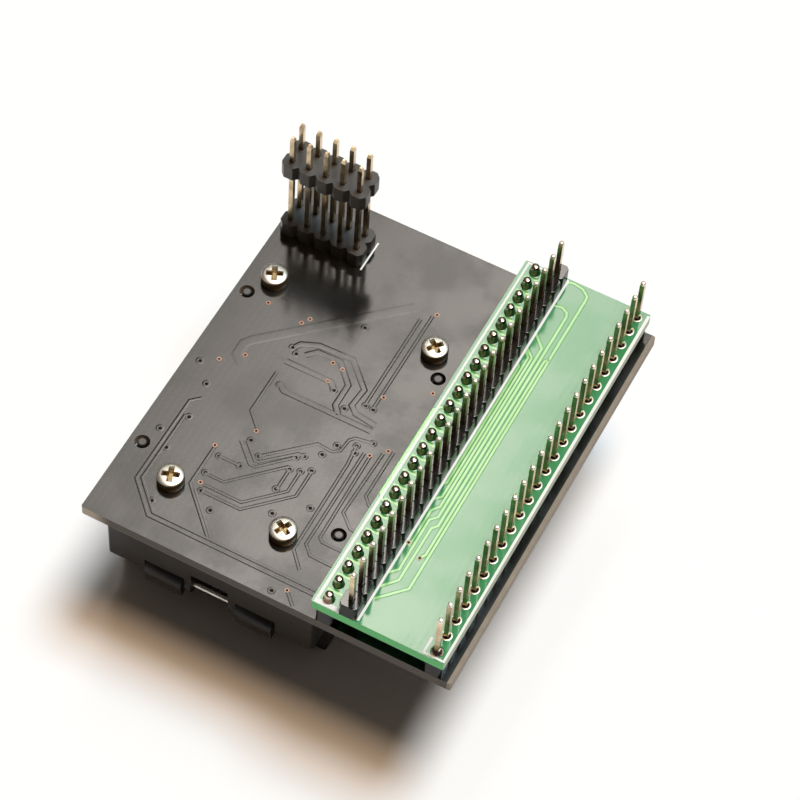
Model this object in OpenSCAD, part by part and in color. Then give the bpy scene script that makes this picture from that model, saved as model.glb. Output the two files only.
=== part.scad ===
// Programming adapter for a ball-grid chip: a clamshell test socket screwed under a
// two-board plug with two 24-way pin rows and a tall 2 x 5 auxiliary header.
// It lies on the socket's lid, pins up, as it is put down on a bench.
// Units are millimetres. Origin: centre of the footprint, on the lid's outer face.

/* [Pin rows] */
// Distance between neighbouring pins
pin_pitch = 2.54; // [2.3:0.01:2.6]
// Number of pins in each plug row
pins_per_row = 24; // [22:1:26]
// Side of the square pins
pin_side = 0.64; // [0.5:0.01:0.7]
// Length of the tapered pin tips
pin_taper = 0.55; // [0.3:0.05:0.9]
// Distance from the soldered row to the right plug row
row_spacing = 15.24; // [14:0.01:17.78]
// Distance from the soldered row to the left plug row
plug_row_step = 3.15; // [2.9:0.05:4]
// Height of the left plug tips above the plug board
left_tip_h = 8.75; // [7:0.05:11]
// Height of the right plug tips above the plug board
right_tip_h = 7.85; // [6:0.05:11]
// Height of the moulded pin strips
strip_h = 2.54; // [2:0.01:3.2]
// Bevel between neighbouring cells of the pin strips
strip_bevel = 0.4; // [0.2:0.05:0.7]
// Length of the pin tails under a board
tail_h = 1.1; // [0.8:0.05:1.6]

/* [Boards] */
// Width of the main board
main_w = 53.5; // [52.5:0.5:60]
// Thickness of the main board
main_t = 1.6; // [1.2:0.1:2]
// Main board edge beyond the right plug row
main_edge = 2.8; // [2.2:0.1:3]
// Thickness of the plug board
plug_t = 1.6; // [1.2:0.1:2]
// Plug board edge beyond the soldered row
plug_left_edge = 1.9; // [1.6:0.05:2.6]
// Plug board edge beyond the right plug row
plug_right_edge = 1.56; // [1.5:0.02:2]
// Corner radius of both boards
board_corner = 0.3; // [0.2:0.1:1]
// Diameter of the plated pin holes
pin_hole_d = 1.05; // [1:0.05:1.2]

/* [Solder] */
// Height of the solder cones on the soldered row
cone_h = 1.5; // [1.2:0.1:1.9]
// Diameter of the solder pads
pad_d = 1.8; // [1.5:0.05:2]
// Height of the solder collars on the other pins
collar_h = 0.6; // [0.4:0.05:0.8]

/* [Auxiliary header] */
// Pins along the header
aux_cols = 5; // [3:1:5]
// Rows in the header
aux_rows = 2; // [1:1:2]
// First pin from the main board's left edge
aux_from_left = 1.9; // [1.35:0.05:2.5]
// Front row from the first plug pin
aux_from_pin_one = 51.2; // [50.6:0.1:52]
// Bevel between neighbouring cells of the header's mouldings
aux_bevel = 0.6; // [0.2:0.05:0.7]
// Underside of the upper moulding above the main board
aux_upper_z = 12.6; // [8:0.1:14]
// Height of the header tips above the main board
aux_tip_h = 20; // [17.5:0.1:24]

/* [Socket base] */
// Width of the socket
base_w = 31.1; // [31:0.1:32]
// Length of the socket
base_l = 44.1; // [43.5:0.1:46]
// Height of the socket base
base_h = 15; // [14:0.1:18]
// Corner radius of the base and the lid
base_corner = 0.4; // [0.3:0.1:2]
// Socket centre to the left of the soldered row
socket_from_row = 19.05; // [18.8:0.05:19.1]
// Socket centre from the first plug pin
socket_from_pin_one = 25.1; // [24:0.1:26]
// Alignment posts in from the socket's sides
post_inset_x = 0.98; // [0.95:0.01:3]
// Alignment posts in from the socket's ends
post_inset_y = 8.1; // [7:0.1:9]
// Diameter of the alignment posts
post_d = 1.25; // [1:0.05:1.8]
// Diameter of the post holes in the main board
post_hole_d = 2.1; // [2:0.05:2.6]

/* [Mounting screws] */
// Far mounting screws in from the socket's sides
screw_far_inset = 3.3; // [2.6:0.1:4]
// Near mounting screws in from the socket's sides
screw_near_inset = 7.25; // [6:0.05:8]
// Mounting screws in from the socket's ends
screw_end_inset = 4.65; // [4:0.05:5]
// Diameter of the mounting screw heads
screw_head_d = 3.7; // [3.4:0.1:4.6]
// Height of the mounting screw heads
screw_head_h = 1.7; // [1.4:0.1:2]
// Bevel round the top of the mounting screw heads
screw_head_bevel = 0.3; // [0.1:0.05:0.5]
// Length of the cross recess in the mounting screws
recess_l = 2.1; // [1.6:0.1:2.4]
// Width of the cross recess in the mounting screws
recess_w = 0.65; // [0.4:0.05:0.8]
// Depth of the cross recess in the mounting screws
recess_depth = 0.9; // [0.6:0.1:1.2]
// Diameter of the mounting screw shanks
screw_d = 2.4; // [2:0.1:2.6]
// Length of the mounting screws under the head
screw_l = 6.4; // [5.5:0.1:7]
// Outer diameter of the threaded inserts
insert_d = 3.5; // [3.2:0.1:3.6]
// Length of the threaded inserts
insert_l = 5; // [4:0.1:5.5]
// Plastic left between an insert and the contact block
insert_wall = 0.4; // [0.3:0.05:0.6]

/* [Lid and hinge] */
// Height of the lid
lid_h = 7; // [6.6:0.1:8]
// Gap between the closed lid and the base
lid_gap = 0.2; // [0.1:0.05:0.4]
// Thickness of the lid's outer wall under the pressure plate
lid_floor = 3.2; // [3:0.1:3.4]
// Bevel round the lid's outer face
lid_bevel = 0.8; // [0.4:0.1:1]
// Diameter of the hinge pin
hinge_pin_d = 1.2; // [1:0.05:1.8]
// Hinge axis behind the socket's front face
hinge_inset = 1.15; // [1:0.05:1.3]
// Hinge axis above the base's lower face
hinge_rise = 0.4; // [0.2:0.05:0.6]
// Radius of the lid's hinge knuckles
knuckle_r = 1.9; // [1.7:0.05:2]
// Radius of the base's hinge ears
ear_r = 1.4; // [1.3:0.05:1.9]
// Width of each lid knuckle
knuckle_w = 5.6; // [4.5:0.1:6]
// Gap between the knuckles and the front of the lid's plate
lid_setback = 0.9; // [0.6:0.1:1.2]
// Length of hinge pin left bare in the middle
pin_show = 5.6; // [4.5:0.1:6.5]
// Thickness of the base's hinge ears
ear_t = 1.1; // [0.9:0.05:1.5]

/* [Latch] */
// Width of the latch lever
latch_w = 12; // [9:0.5:13]
// Thickness of the latch lever
latch_t = 1.8; // [1.4:0.1:2]
// Diameter of the latch pin
latch_pin_d = 1.5; // [1.2:0.05:1.8]
// Length of the latch pin
latch_pin_l = 18; // [17:0.5:20]
// Latch pin in front of the socket's back face
latch_inset = 1.85; // [1.8:0.05:2.1]
// Latch pin above the lid's outer face
latch_rise = 3.4; // [3.2:0.1:3.6]
// Radius of the lever's boss round the pin
latch_boss_r = 1.9; // [1.6:0.1:2.1]
// Height of the base's catch ledge above its lower face
catch_h = 6.3; // [5.5:0.1:7]
// Depth by which the hook holds over the ledge
catch_grip = 1; // [0.7:0.1:1.1]
// Angle by which the lever stands released
latch_free_angle = 9; // [8.5:0.5:12]

/* [Chip seat] */
// Width of the chip pocket
chip_w = 11.7; // [10:0.1:12.5]
// Length of the chip pocket
chip_l = 13.2; // [11:0.1:14.5]
// Depth of the chip pocket
chip_depth = 0.9; // [0.6:0.1:1.2]
// Thickness of the contact block
block_t = 5; // [4.6:0.1:5.5]
// Width of the contact block
block_w = 25; // [24.4:0.1:26]
// Length of the contact block
block_l = 30; // [29.8:0.1:30.4]
// Border of the contact block beyond the nest's rim
block_band = 2.7; // [2.6:0.1:3]
// Length of the block screws in the base
block_grip = 3.5; // [2.5:0.1:5]
// Width of the ledge that stops the nest's rim
rim_step = 1.2; // [0.8:0.1:1.6]
// Travel of the floating nest
nest_travel = 0.6; // [0.4:0.05:0.8]
// Thickness of the nest's rim
nest_rim_t = 1.5; // [1.2:0.1:1.8]
// Height of the nest below its rim
nest_drop = 2.3; // [2:0.1:3]
// Bevel that leads the chip into its pocket
lead_in = 0.8; // [0.4:0.1:1]
// Distance between neighbouring contact probes
probe_pitch = 0.8; // [0.75:0.01:0.9]
// Columns of contact probes
probe_cols = 8; // [6:1:9]
// Rows of contact probes
probe_rows = 10; // [8:1:11]
// Diameter of the contact probes
probe_d = 0.42; // [0.35:0.01:0.5]

/* [Pressure plate] */
// Border of the pressure plate beyond the nest's rim, at its sides
plate_side_lap = 0.7; // [0.2:0.1:1.2]
// Border of the pressure plate beyond the nest's rim, at its ends
plate_end_lap = 0.2; // [0:0.1:0.7]
// Thickness of the pressure plate
plate_t = 2.2; // [2:0.1:2.4]
// Plate screws in from the pressure plate's edges
plate_screw_inset = 2.2; // [2:0.1:3]
// Distance from a plate screw to its spring
plate_spring_step = 5.2; // [4:0.1:6]
// Depth of the spring pockets
spring_pocket = 1.6; // [1.2:0.1:1.8]
// Travel of the pressure plate
plate_travel = 0.8; // [0.5:0.05:0.9]
// Depth of a pressed-in plate screw below the lid's outer face
head_cover = 0.6; // [0.3:0.1:0.8]
// Width of the pressing foot
foot_w = 11; // [9:0.1:12]
// Length of the pressing foot
foot_l = 12.6; // [10:0.1:13.6]

/* [Springs] */
// Diameter of the spring wire
wire_d = 0.4; // [0.3:0.02:0.44]
// Outer diameter of the springs
spring_d = 2.4; // [2:0.1:2.8]
// Turns in each spring
spring_turns = 3.5; // [2.5:0.5:4]

/* [Clearances] */
// Radial gap round pins that only sit in a hole
sit_gap = 0.01; // [0.01:0.005:0.03]
// Radial gap round pins that turn
turn_gap = 0.05; // [0.03:0.01:0.08]
// Gap beside parts that slide or swing past each other
slide_gap = 0.2; // [0.15:0.05:0.25]
// Gap round the swinging knuckles
swing_gap = 0.25; // [0.2:0.05:0.35]

/* [Hidden] */
$fn = 48;
eps = 0.01;

// Plan: the main board is centred on the origin
row_l = (pins_per_row - 1) * pin_pitch;
board_l = pins_per_row * pin_pitch;
right_x = main_w / 2 - main_edge;
joint_x = right_x - row_spacing;
plug_x = joint_x + plug_row_step;
pin_one_y = -row_l / 2;
socket_x = joint_x - socket_from_row;
socket_y = pin_one_y + socket_from_pin_one;
front_y = socket_y - base_l / 2;
back_y = socket_y + base_l / 2;
aux_x = -main_w / 2 + aux_from_left;
aux_y = pin_one_y + aux_from_pin_one;

// Levels, from the lid's outer face upwards
base_z = lid_h + lid_gap;
main_z = base_z + base_h;
main_top = main_z + main_t;
plug_z = main_top + strip_h;
plug_top = plug_z + plug_t;
block_z = main_z - block_t;

// Square holes that seat the pins, and the plug board's outline
seat_hole = pin_side + 2 * sit_gap;
plug_w = plug_left_edge + row_spacing + plug_right_edge;
plug_mid_x = joint_x + (row_spacing + plug_right_edge - plug_left_edge) / 2;

// Hinge
hinge_y = front_y + hinge_inset;
hinge_z = base_z + hinge_rise;
ear_in = pin_show / 2;
ear_out = ear_in + ear_t;
knuckle_in = ear_out + turn_gap * 2;
knuckle_out = knuckle_in + knuckle_w;
hinge_pin_l = 2 * knuckle_out - 0.4;
notch_h = 2 * knuckle_r - hinge_inset / 5;
// The toe turns past the base's front edge with half the swing gap to spare
toe_l = sqrt(pow(knuckle_r + swing_gap / 2, 2) - pow(hinge_inset, 2));
lid_front = hinge_y + knuckle_r + lid_setback;
lid_l = back_y - lid_front;
lid_y = (back_y + lid_front) / 2;

// Posts and mounting screws, from the socket's centre
post_x = base_w / 2 - post_inset_x;
post_y = base_l / 2 - post_inset_y;
screw_far_x = base_w / 2 - screw_far_inset;
screw_near_x = base_w / 2 - screw_near_inset;
screw_y = max(base_l / 2 - screw_end_inset, (block_l + insert_d) / 2 + insert_wall);

// Latch: sizes are taken in the latched position
latch_y = back_y - latch_inset;
catch_z = base_z + catch_h;
catch_edge_y = latch_y - 0.6;
hook_h = 2;
hook_z = catch_z + slide_gap;
hook_top = hook_z + hook_h;
lever_in_y = latch_y - 0.25;
lever_out_y = lever_in_y + latch_t;
latch_slot_w = latch_w + 2 * slide_gap;
lip_r = 0.7;

// Chip seat, from the contact block downwards to the lid
rim_gap = 0.05;
rim_top = block_z - nest_travel - rim_gap;
rim_z = rim_top - nest_rim_t;
ledge_z = rim_z - rim_gap;
nest_z = rim_z - nest_drop;
rim_w = block_w - 2 * block_band;
rim_l = block_l - 2 * block_band;
nest_w = rim_w - 2 * rim_step;
nest_l = rim_l - 2 * rim_step;
probe_field_w = (probe_cols - 1) * probe_pitch;
probe_field_l = (probe_rows - 1) * probe_pitch;
pedestal_w = probe_field_w + 2;
pedestal_l = probe_field_l + 2;
chip_top = nest_z + chip_depth;
pedestal_z = chip_top + nest_travel + 0.1;
probe_tip_z = chip_top + 0.15;
nest_spring_x = rim_w / 2 - spring_d / 2 - 0.4;
nest_spring_y = rim_l / 2 - spring_d / 2 - 0.4;
nest_spring_pocket = block_t / 2;

// Screws that hold the contact block
block_screw_d = 1.2;
block_head_d = 2;
block_head_h = 0.9;
block_screw_l = block_t + block_grip;
block_screw_x = block_w / 2 - block_band;
block_screw_y = (block_l - block_band) / 2;

// Pressure plate in the lid
plate_top = lid_h - slide_gap;
plate_z = plate_top - plate_t;
foot_top = nest_z - 0.3;
plate_w = rim_w + 2 * plate_side_lap;
plate_l = rim_l + 2 * plate_end_lap;
well_w = plate_w + 2 * slide_gap;
well_l = plate_l + 2 * slide_gap;
plate_screw_x = plate_w / 2 - plate_screw_inset;
plate_screw_y = plate_l / 2 - plate_screw_inset;
plate_screw_d = 1.6;
plate_head_d = 2.8;
plate_head_h = 0.8;
plate_head_seat = plate_head_h + plate_travel + head_cover;
plate_spring_y = plate_screw_y - plate_spring_step;
plate_spring_z = lid_floor - spring_pocket;

// A plate with rounded upright edges, standing on z = 0
module slab(w, l, h, r) {
  linear_extrude(h) {
    square([w - 2 * r, l], center = true);
    square([w, l - 2 * r], center = true);
    for (x = [-1, 1], y = [-1, 1]) translate([x * (w / 2 - r), y * (l / 2 - r)]) circle(r);
  }
}

// Copies the children to every pin of a plug row
module along_row(x) {
  for (i = [0 : pins_per_row - 1]) translate([x, pin_one_y + i * pin_pitch, 0]) children();
}

// Copies the children to every pin of the auxiliary header
module along_aux() {
  for (i = [0 : aux_cols - 1], j = [0 : aux_rows - 1])
    translate([aux_x + i * pin_pitch, aux_y + j * pin_pitch, 0]) children();
}

// Copies the children to four places round the socket's centre
module at_corners(x, y) {
  for (i = [-1, 1], j = [-1, 1]) translate([socket_x + i * x, socket_y + j * y, 0]) children();
}

// Copies the children to the four mounting screws
module at_screws() {
  for (i = [-1, 1], j = [-1, 1])
    translate([socket_x + i * (j > 0 ? screw_far_x : screw_near_x), socket_y + j * screw_y, 0]) children();
}

// A cylinder along X, from x0 to x1
module rod_x(x0, x1, r) {
  translate([x0, 0, 0]) rotate([0, 90, 0]) cylinder(r = r, h = x1 - x0);
}

// A square pin from z0 to z1 with a tapered upper tip, and a tapered lower tip if asked for
module pin(z0, z1, lower_taper = true) {
  low = lower_taper ? z0 + pin_taper : z0;
  translate([0, 0, (low + z1 - pin_taper) / 2])
    cube([pin_side, pin_side, z1 - pin_taper - low], center = true);
  translate([0, 0, z1 - pin_taper]) tip();
  if (lower_taper) translate([0, 0, low]) mirror([0, 0, 1]) tip();
}

// The tapered end of a pin
module tip() {
  rotate(45) cylinder(d1 = pin_side * sqrt(2), d2 = pin_side * 0.8, h = pin_taper, $fn = 4);
}

// One cell of a moulded strip, seen from above: a square with bevelled corners
module strip_cell(bevel) {
  intersection() {
    square(pin_pitch, center = true);
    rotate(45) square((pin_pitch - bevel) * sqrt(2), center = true);
  }
}

// A round coil spring standing on z = 0
module coil(length) {
  sides = 6;
  steps = 14;
  mid_r = (spring_d - wire_d) / 2;
  rise = length - wire_d;
  last = spring_turns * steps;
  rings = [for (i = [0 : last], k = [0 : sides - 1])
    let (a = 360 * i / steps, b = 360 * k / sides, r = mid_r + wire_d / 2 * cos(b))
    [r * cos(a), r * sin(a), wire_d / 2 + rise * i / last + wire_d / 2 * sin(b)]];
  skin = [for (i = [0 : last - 1], k = [0 : sides - 1])
    let (n = (k + 1) % sides)
    [i * sides + k, (i + 1) * sides + k, (i + 1) * sides + n, i * sides + n]];
  first_end = [for (k = [0 : sides - 1]) k];
  last_end = [for (k = [sides - 1 : -1 : 0]) last * sides + k];
  polyhedron(rings, concat(skin, [first_end, last_end]), convexity = 6);
}

// A hollow-sided solder fillet round a pin, standing on z = 0
module solder_cone(height, top_d) {
  flare = (pad_d - top_d) / 2;
  side = [for (t = [0 : 0.25 : 1]) [top_d / 2 + flare * (1 - t) * (1 - t), height * t]];
  rotate_extrude($fn = 24) polygon(concat([[0, 0]], side, [[0, height]]));
}

// The lid: a tray with two hinge arms in front and a latch slot behind
module lid_shell() {
  color([0.13, 0.13, 0.14]) difference() {
    union() {
      lid_plate();
      for (s = [-1, 1]) translate([socket_x, hinge_y, hinge_z]) mirror([s < 0 ? 1 : 0, 0, 0]) hinge_arm();
    }
    translate([socket_x, hinge_y, hinge_z]) rod_x(-knuckle_out, knuckle_out, hinge_pin_d / 2 + sit_gap);
    translate([socket_x, socket_y, lid_floor]) slab(well_w, well_l, lid_h, base_corner);
    at_corners(plate_screw_x, plate_screw_y) {
      translate([0, 0, -eps]) cylinder(d = plate_screw_d + 4 * slide_gap, h = lid_floor + 2 * eps);
      translate([0, 0, -eps]) cylinder(d = plate_head_d + 2 * slide_gap, h = plate_head_seat + eps);
    }
    at_corners(plate_screw_x, plate_spring_y) translate([0, 0, plate_spring_z])
      cylinder(d = spring_d + 2 * slide_gap, h = lid_floor);
    latch_slot();
  }
}

// The lid's plate, bevelled round its outer face
module lid_plate() {
  translate([socket_x, lid_y, lid_bevel]) slab(base_w, lid_l, lid_h - lid_bevel, base_corner);
  translate([socket_x, lid_y, 0]) hull() {
    slab(base_w - 2 * lid_bevel, lid_l - 2 * lid_bevel, eps, base_corner, $fn = 32);
    translate([0, 0, lid_bevel - eps]) slab(base_w, lid_l, eps, base_corner, $fn = 32);
  }
}

// One hinge arm, in the hinge pin's frame: a knuckle with a square toe in front
module hinge_arm() {
  rod_x(knuckle_in, knuckle_out, knuckle_r);
  translate([knuckle_in, -toe_l, -knuckle_r]) cube([knuckle_w, toe_l, knuckle_r]);
  translate([knuckle_in, 0, -knuckle_r])
    cube([knuckle_w, lid_front - hinge_y + base_corner, lid_h - hinge_z + knuckle_r]);
}

// The slot behind in which the latch lever swings, with the bores for its pin
module latch_slot() {
  slot_front = latch_y - latch_boss_r - 2 * slide_gap;
  translate([socket_x - latch_slot_w / 2, slot_front, -eps])
    cube([latch_slot_w, back_y - slot_front + eps, lid_h + 2 * eps]);
  translate([socket_x, latch_y, latch_rise])
    rod_x(-latch_pin_l / 2, latch_pin_l / 2, latch_pin_d / 2 + sit_gap);
}

module hinge_pin() {
  color([0.78, 0.78, 0.76]) translate([socket_x, hinge_y, hinge_z])
    rod_x(-hinge_pin_l / 2, hinge_pin_l / 2, hinge_pin_d / 2);
}

module latch_pin() {
  color([0.78, 0.78, 0.76]) translate([socket_x, latch_y, latch_rise])
    rod_x(-latch_pin_l / 2, latch_pin_l / 2, latch_pin_d / 2);
}

// The latch lever, swung out to where its hook is clear of the ledge
module latch_lever() {
  color([0.16, 0.16, 0.17]) translate([socket_x, latch_y, latch_rise]) rotate([-latch_free_angle, 0, 0])
    difference() {
      union() {
        rod_x(-latch_w / 2, latch_w / 2, latch_boss_r);
        rotate([90, 0, 90]) translate([0, 0, -latch_w / 2]) linear_extrude(latch_w) lever_profile();
        translate([0, lever_out_y - latch_y + 2 * lip_r, hook_top - latch_rise - lip_r])
          rod_x(-latch_w / 2, latch_w / 2, lip_r);
      }
      rod_x(-latch_w, latch_w, latch_pin_d / 2 + turn_gap);
    }
}

// Side view of the lever about its pin: arm, hook and thumb lip
module lever_profile() {
  top = hook_top - latch_rise;
  inner = lever_in_y - latch_y;
  outer = lever_out_y - latch_y;
  nose = catch_edge_y - latch_y - catch_grip;
  hook_low = hook_z - latch_rise;
  polygon([[inner, 0], [outer, 0], [outer, top - 4 * lip_r], [outer + 2 * lip_r, top - 2 * lip_r],
           [outer + 2 * lip_r, top], [inner - 0.2, top], [nose, hook_low + hook_h * 0.35],
           [nose, hook_low], [inner, hook_low]]);
}

// The socket base: a deep frame with hinge ears, posts, a catch and a stepped well
module socket_base() {
  color([0.12, 0.12, 0.13]) difference() {
    union() {
      translate([socket_x, socket_y, base_z]) slab(base_w, base_l, base_h, base_corner);
      at_corners(post_x, post_y) translate([0, 0, main_z - eps])
        cylinder(d = post_d, h = main_t + eps);
      for (s = [-1, 1]) translate([socket_x, hinge_y, hinge_z]) mirror([s < 0 ? 1 : 0, 0, 0])
        rod_x(ear_in, ear_out, ear_r);
    }
    hinge_clearance();
    base_well();
    catch_recess();
    at_screws() translate([0, 0, main_z - insert_l]) cylinder(d = insert_d + 2 * sit_gap, h = insert_l + eps);
    at_screws() translate([0, 0, main_top - screw_l - 0.5]) cylinder(d = screw_d + 4 * turn_gap, h = screw_l);
    at_corners(block_screw_x, block_screw_y) translate([0, 0, main_z - block_screw_l - 0.3])
      cylinder(d = block_screw_d + 2 * sit_gap, h = block_screw_l);
  }
}

// Room for the lid's knuckles, the bare stretch of pin and the bore in the ears
module hinge_clearance() {
  r = knuckle_r + swing_gap;
  translate([socket_x, hinge_y, hinge_z]) {
    for (s = [-1, 1]) mirror([s < 0 ? 1 : 0, 0, 0]) rod_x(ear_out, knuckle_out + swing_gap, r);
    translate([-ear_in, -hinge_inset - eps, -knuckle_r - eps])
      cube([pin_show, hinge_inset + r + eps, knuckle_r + notch_h + eps]);
    rod_x(-knuckle_out, knuckle_out, hinge_pin_d / 2 + turn_gap);
  }
}

// The stepped well: contact block on top, then the nest's rim, then the open mouth
module base_well() {
  translate([socket_x, socket_y, 0]) {
    translate([0, 0, block_z]) slab(block_w + 4 * sit_gap, block_l + 4 * sit_gap, block_t + eps, base_corner);
    translate([0, 0, ledge_z]) slab(rim_w + 2 * slide_gap, rim_l + 2 * slide_gap, block_t, base_corner);
    translate([0, 0, base_z - eps]) slab(nest_w + 2 * slide_gap, nest_l + 2 * slide_gap, base_h, base_corner);
  }
}

// The recess in the back wall: lever space below the ledge, hook space above it
module catch_recess() {
  hook_space_y = catch_edge_y - catch_grip - 2 * slide_gap;
  translate([socket_x - latch_slot_w / 2, catch_edge_y, base_z - eps])
    cube([latch_slot_w, back_y - catch_edge_y + eps, hook_top + 2 * slide_gap - base_z + eps]);
  translate([socket_x - latch_slot_w / 2, hook_space_y, catch_z])
    cube([latch_slot_w, back_y - hook_space_y + eps, hook_top + 2 * slide_gap - catch_z]);
}

// The contact block with its pedestal, probe bores and spring pockets
module contact_block() {
  color([0.2, 0.19, 0.17]) difference() {
    translate([socket_x, socket_y, 0]) {
      translate([0, 0, block_z]) slab(block_w, block_l, block_t, base_corner);
      translate([0, 0, pedestal_z]) slab(pedestal_w, pedestal_l, block_z - pedestal_z + eps, 0.3);
    }
    at_probes() translate([0, 0, pedestal_z - eps])
      cylinder(d = probe_d + 2 * turn_gap, h = main_z - pedestal_z + 2 * eps, $fn = 16);
    at_corners(nest_spring_x, nest_spring_y) translate([0, 0, block_z - eps])
      cylinder(d = spring_d + 2 * slide_gap, h = nest_spring_pocket + eps);
    at_corners(block_screw_x, block_screw_y) block_screw_hole();
  }
}

// A countersunk hole through the contact block
module block_screw_hole() {
  translate([0, 0, block_z - eps]) cylinder(d = block_screw_d + 2 * turn_gap, h = block_t + 2 * eps);
  translate([0, 0, main_z - block_head_h])
    cylinder(d1 = block_screw_d + 2 * turn_gap, d2 = block_head_d + 2 * turn_gap, h = block_head_h + eps);
}

// Copies the children to every probe, leaving the middle of the field empty
module at_probes() {
  for (i = [0 : probe_cols - 1], j = [0 : probe_rows - 1])
    if (abs(i - (probe_cols - 1) / 2) > 1 || abs(j - (probe_rows - 1) / 2) > 2)
      translate([socket_x - probe_field_w / 2 + i * probe_pitch,
                 socket_y - probe_field_l / 2 + j * probe_pitch, 0]) children();
}

// Spring probes: a barrel in the block and a thinner plunger towards the chip
module contact_probes() {
  color([0.8, 0.64, 0.32]) at_probes() {
    translate([0, 0, pedestal_z]) cylinder(d = probe_d, h = main_z - pedestal_z, $fn = 16);
    translate([0, 0, probe_tip_z]) cylinder(d = probe_d * 0.6, h = pedestal_z - probe_tip_z + eps, $fn = 16);
  }
}

module block_screws() {
  color([0.7, 0.7, 0.7]) at_corners(block_screw_x, block_screw_y) {
    translate([0, 0, main_z - block_screw_l]) cylinder(d = block_screw_d, h = block_screw_l);
    translate([0, 0, main_z - block_head_h]) cylinder(d1 = block_screw_d, d2 = block_head_d, h = block_head_h);
  }
}

// The floating nest: a rim that the ledge stops, and a frame with the chip pocket
module ic_nest() {
  color([0.15, 0.15, 0.16]) translate([socket_x, socket_y, 0]) difference() {
    union() {
      translate([0, 0, rim_z]) slab(rim_w, rim_l, nest_rim_t, base_corner);
      translate([0, 0, nest_z]) slab(nest_w, nest_l, nest_drop + eps, base_corner);
    }
    translate([0, 0, nest_z - eps]) slab(chip_w, chip_l, chip_depth + eps, 0.3);
    funnel(chip_w, chip_l, nest_z, lead_in);
    translate([0, 0, nest_z]) slab(pedestal_w + 2 * slide_gap, pedestal_l + 2 * slide_gap, block_t, 0.3);
  }
}

// A bevel that widens downwards, round the mouth of a rounded pocket at height z
module funnel(w, l, z, size) {
  hull() {
    translate([0, 0, z + size / 2]) slab(w, l, eps, 0.3, $fn = 32);
    translate([0, 0, z - eps]) slab(w + 2 * size, l + 2 * size, eps, 0.3, $fn = 32);
  }
}

module nest_springs() {
  color([0.8, 0.8, 0.8]) at_corners(nest_spring_x, nest_spring_y)
    translate([0, 0, rim_top]) coil(block_z + nest_spring_pocket - rim_top);
}

// The pressure plate: a flange in the lid's well and a foot that reaches into the base
module pressure_plate() {
  color([0.62, 0.63, 0.65]) difference() {
    translate([socket_x, socket_y, 0]) {
      translate([0, 0, plate_z]) slab(plate_w, plate_l, plate_t, base_corner);
      translate([0, 0, plate_top - eps]) slab(foot_w, foot_l, foot_top - plate_top + eps, base_corner);
    }
    at_corners(plate_screw_x, plate_screw_y) translate([0, 0, plate_z - eps])
      cylinder(d = plate_screw_d + 2 * sit_gap, h = plate_t + 2 * eps);
  }
}

// Shoulder screws that keep the pressure plate in the lid
module plate_screws() {
  color([0.75, 0.75, 0.76]) at_corners(plate_screw_x, plate_screw_y) difference() {
    union() {
      translate([0, 0, plate_head_seat - rim_gap - plate_head_h]) cylinder(d = plate_head_d, h = plate_head_h);
      translate([0, 0, plate_head_seat - rim_gap - eps])
        cylinder(d = plate_screw_d, h = plate_top - plate_head_seat + rim_gap + eps);
    }
    translate([0, 0, plate_head_seat - rim_gap - plate_head_h])
      cube([plate_head_d * 0.8, 0.4, plate_head_h], center = true);
  }
}

module plate_springs() {
  color([0.8, 0.8, 0.8]) at_corners(plate_screw_x, plate_spring_y)
    translate([0, 0, plate_spring_z]) coil(plate_z - plate_spring_z);
}

// Threaded brass inserts for the mounting screws
module screw_inserts() {
  color([0.75, 0.6, 0.3]) at_screws() difference() {
    translate([0, 0, main_z - insert_l]) cylinder(d = insert_d, h = insert_l);
    translate([0, 0, main_z - insert_l - eps]) cylinder(d = screw_d + 2 * sit_gap, h = insert_l + 2 * eps);
  }
}

// Cross-recess screws with straight-sided heads, through the main board
module mounting_screws() {
  side_h = screw_head_h - screw_head_bevel;
  top_d = screw_head_d - 2 * screw_head_bevel;
  color([0.82, 0.8, 0.76]) at_screws() translate([0, 0, main_top]) difference() {
    union() {
      cylinder(d = screw_head_d, h = side_h);
      translate([0, 0, side_h]) cylinder(d1 = screw_head_d, d2 = top_d, h = screw_head_bevel);
      translate([0, 0, -screw_l]) cylinder(d = screw_d, h = screw_l + eps);
    }
    for (a = [0, 90]) rotate(a) translate([0, 0, screw_head_h])
      cube([recess_l, recess_w, 2 * recess_depth], center = true);
  }
}

// The main board with its pin, post and screw holes
module main_board() {
  color([0.2, 0.2, 0.19]) difference() {
    translate([0, 0, main_z]) slab(main_w, board_l, main_t, board_corner);
    translate([0, 0, main_z - eps]) {
      for (x = [joint_x, right_x]) along_row(x) cylinder(d = pin_hole_d, h = main_t + 2 * eps, $fn = 16);
      along_aux() cylinder(d = pin_hole_d, h = main_t + 2 * eps, $fn = 16);
      at_corners(post_x, post_y) cylinder(d = post_hole_d, h = main_t + 2 * eps);
      at_screws() cylinder(d = screw_d + 6 * turn_gap, h = main_t + 2 * eps);
    }
  }
}

// The narrow plug board with three rows of pin holes
module plug_board() {
  color([0.45, 0.72, 0.5]) difference() {
    translate([plug_mid_x, 0, plug_z]) slab(plug_w, board_l, plug_t, board_corner);
    for (x = [joint_x, plug_x, right_x]) along_row(x) translate([0, 0, plug_z - eps])
      cylinder(d = pin_hole_d, h = plug_t + 2 * eps, $fn = 16);
  }
}

// A moulded strip for one row of pins
module row_strip(x, z) {
  translate([0, 0, z]) linear_extrude(strip_h) difference() {
    union() {
      translate([x, 0]) square([pin_pitch - 2 * strip_bevel, row_l], center = true);
      along_row(x) strip_cell(strip_bevel);
    }
    along_row(x) square(seat_hole, center = true);
  }
}

module joint_row_strip() {
  color([0.15, 0.15, 0.15]) row_strip(joint_x, main_top);
}

module right_row_strip() {
  color([0.15, 0.15, 0.15]) row_strip(right_x, main_top);
}

module left_plug_strip() {
  color([0.15, 0.15, 0.15]) row_strip(plug_x, plug_top);
}

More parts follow.
